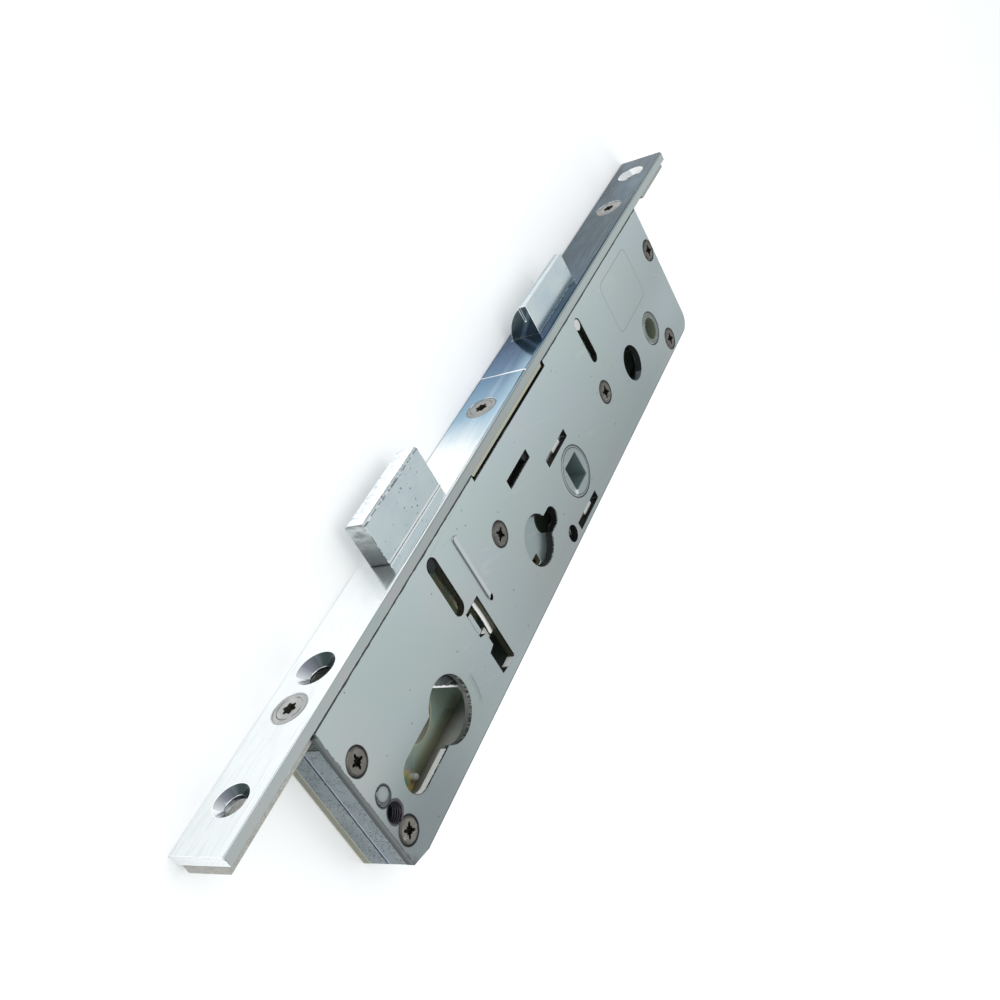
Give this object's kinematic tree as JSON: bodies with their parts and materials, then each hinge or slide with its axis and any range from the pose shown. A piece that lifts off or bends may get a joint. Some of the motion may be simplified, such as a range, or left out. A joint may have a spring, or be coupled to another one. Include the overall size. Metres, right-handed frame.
{
  "type": "deadbolt lock",
  "caption": "Narrow mortice lock case on a faceplate strip, with a sprung latch, a deadbolt, a spindle follower and a profile cylinder opening.",
  "frame": {"origin": "on the cylinder opening's axis, halfway through the case", "axes": "+Z out through the case's near plate, +Y along the lock towards its latch, +X from the faceplate into the door; the lock lies on its far side"},
  "size_m": [0.0619, 0.296, 0.016],
  "materials": {
    "faceplate_zinc": "bright zinc plate, brushed along its length",
    "near_case_zinc": "pale grey-green passivated zinc, satin",
    "yellow_zinc": "yellow passivated zinc, satin",
    "keeper_yellow": "pale yellow zinc, satin",
    "rough_zinc": "rough grey cast zinc",
    "dark_screw": "dark steel, satin",
    "face_screw": "grey steel, satin",
    "bush_zinc": "zinc plate, satin",
    "bright_zinc": "bright zinc, satin",
    "spring_steel": "spring steel wire",
    "latch_zinc": "pale blue-grey cast zinc, satin",
    "pad_zinc": "pale worn zinc",
    "bolt_zinc": "bright pitted zinc"
  },
  "bodies": {
    "case": {"faceplate": "faceplate_zinc", "near_case": "near_case_zinc", "far_case_plate": "yellow_zinc", "keeper_strip": "keeper_yellow", "near_end_block": "rough_zinc", "far_end_block": "rough_zinc", "top_block": "rough_zinc", "middle_lug": "rough_zinc", "case_posts": "yellow_zinc", "case_screws": "dark_screw", "faceplate_screws": "face_screw", "handle_bush": "bush_zinc", "riveted_stud": "bush_zinc", "latch_spring_stop": "yellow_zinc", "spring_seat": "yellow_zinc", "blank_plate": "bright_zinc", "lever_pivot": "bush_zinc", "return_spring_front": "spring_steel", "return_spring_rear": "spring_steel", "latch_spring": "spring_steel", "lever_spring": "spring_steel"},
    "latch": {"latch_head": "latch_zinc", "latch_tail": "yellow_zinc", "latch_guide_pin": "bright_zinc", "latch_wear_pad": "pad_zinc"},
    "deadbolt": {"deadbolt": "bolt_zinc", "deadbolt_tail": "yellow_zinc", "deadbolt_guide_pin": "bright_zinc", "deadbolt_cam_pin": "bright_zinc"},
    "drive": {"drive_slide": "yellow_zinc", "drive_stud": "bright_zinc", "lower_drive_bar": "yellow_zinc", "upper_drive_bar": "yellow_zinc"},
    "follower": {"spindle_follower": "bush_zinc"},
    "return_slide": {"return_slide": "bright_zinc"},
    "locking_lever": {"locking_lever": "bright_zinc"}
  },
  "joints": [
    {"name": "follower_turn", "type": "hinge", "parent": "case", "child": "follower", "pos_m": [0, 0.092, 0], "axis": [0, 0, -1], "range_deg": [0, 35.1]},
    {"name": "latch_slide", "type": "slide", "parent": "case", "child": "latch", "axis": [1, 0, 0], "range_m": [0, 0.0095], "stiffness_N_per_m": 300, "springref_m": -0.004, "deforming": ["latch_spring"]},
    {"name": "return_slide_slide", "type": "slide", "parent": "case", "child": "return_slide", "axis": [0, -1, 0], "range_m": [0, 0.00581], "stiffness_N_per_m": 500, "springref_m": -0.004, "deforming": ["return_spring_front", "return_spring_rear"]},
    {"name": "deadbolt_slide", "type": "slide", "parent": "case", "child": "deadbolt", "axis": [1, 0, 0], "range_m": [0, 0.0126]},
    {"name": "drive_slide_slide", "type": "slide", "parent": "case", "child": "drive", "axis": [0, -1, 0], "range_m": [0, 0.011]},
    {"name": "locking_lever_turn", "type": "hinge", "parent": "case", "child": "locking_lever", "pos_m": [-0.007, 0.0142, 0], "axis": [0, 0, 1], "range_deg": [0, 8], "stiffness_Nm_per_rad": 0.05, "springref_deg": -11.46, "deforming": ["lever_spring"]}
  ],
  "couplings": [
    {"joint": "follower_turn", "follows": "latch_slide", "rad_per_m": 64.302},
    {"joint": "return_slide_slide", "follows": "latch_slide", "ratio": 0.61053},
    {"joint": "deadbolt_slide", "follows": "drive_slide_slide", "ratio": 1.1455}
  ]
}
